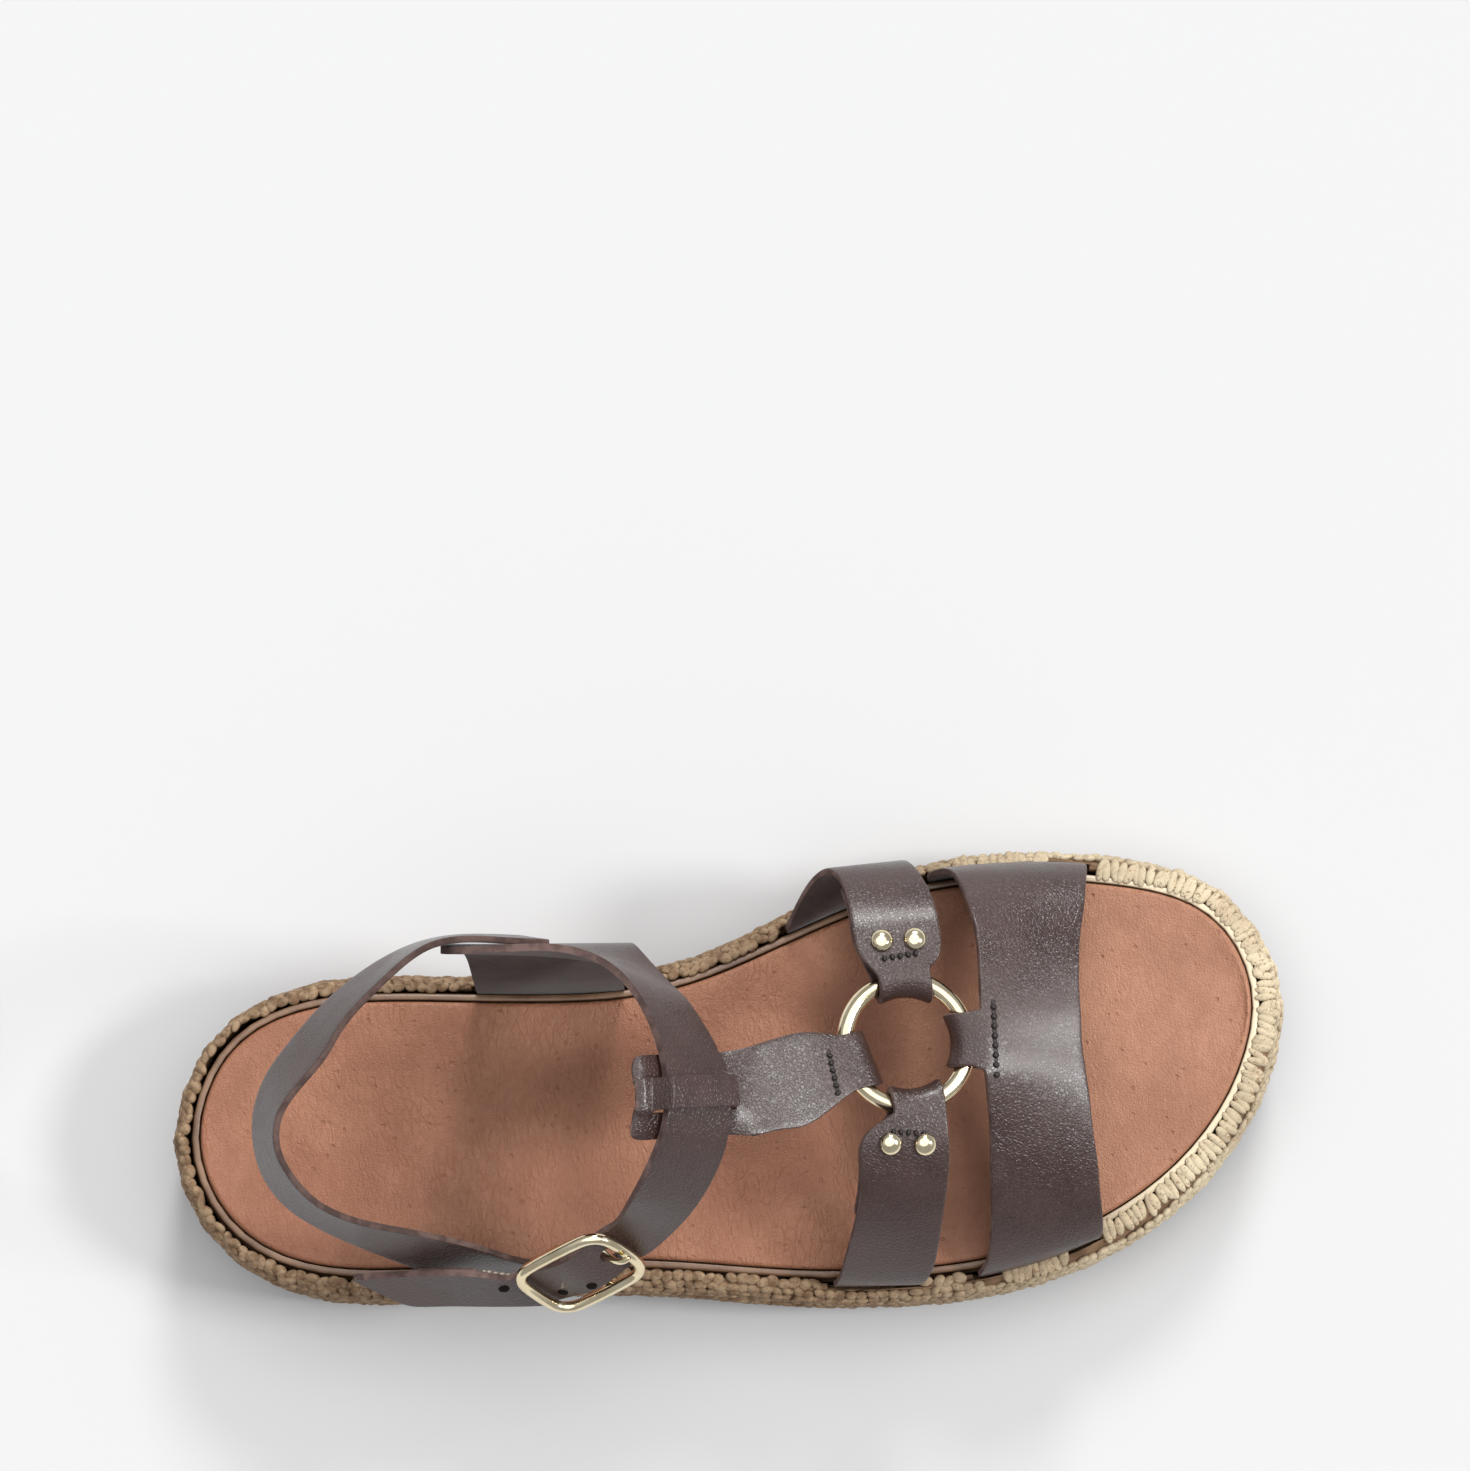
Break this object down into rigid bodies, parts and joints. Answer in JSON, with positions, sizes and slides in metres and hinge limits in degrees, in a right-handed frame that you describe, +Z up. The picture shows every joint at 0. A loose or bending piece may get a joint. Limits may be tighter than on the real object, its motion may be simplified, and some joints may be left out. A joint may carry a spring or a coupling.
{
  "type": "sandal",
  "caption": "Right open leather sandal on a jute wrapped platform, its front straps joined by a metal ring, with a bar to a buckled ankle strap and a slack heel strap.",
  "frame": {"origin": "on the floor under the middle of the part's bounding box", "axes": "+X towards the toe, +Y towards the medial side, +Z up"},
  "size_m": [0.2602, 0.1031, 0.0935],
  "materials": {
    "outsole": "matt dark brown rubber",
    "platform": "foam core",
    "insole": "cognac leather over a padded board",
    "footbed_rim": "bronze leather binding",
    "jute_wrap": "braided natural jute",
    "toe_strap": "dark brown smooth leather",
    "medial_strap": "dark brown smooth leather",
    "lateral_strap": "dark brown smooth leather",
    "ankle_strap": "dark brown smooth leather",
    "heel_strap": "dark brown smooth leather",
    "t_bar": "dark brown smooth leather",
    "ring": "polished pale gold plating",
    "stud_medial_1": "polished pale gold plating",
    "stud_medial_2": "polished pale gold plating",
    "stud_lateral_1": "polished pale gold plating",
    "stud_lateral_2": "polished pale gold plating",
    "buckle_frame": "polished pale gold plating",
    "buckle_prong": "polished pale gold plating",
    "elastic_band": "grey beige ribbed elastic",
    "elastic_tab": "dark brown smooth leather"
  },
  "bodies": {
    "root": {"outsole": "outsole", "platform": "platform", "insole": "insole", "footbed_rim": "footbed_rim", "jute_wrap": "jute_wrap", "toe_strap": "toe_strap", "medial_strap": "medial_strap", "lateral_strap": "lateral_strap", "ankle_strap": "ankle_strap", "heel_strap": "heel_strap", "t_bar": "t_bar", "ring": "ring", "stud_medial_1": "stud_medial_1", "stud_medial_2": "stud_medial_2", "stud_lateral_1": "stud_lateral_1", "stud_lateral_2": "stud_lateral_2", "buckle_frame": "buckle_frame", "buckle_prong": "buckle_prong", "elastic_band": "elastic_band", "elastic_tab": "elastic_tab"}
  },
  "joints": []
}
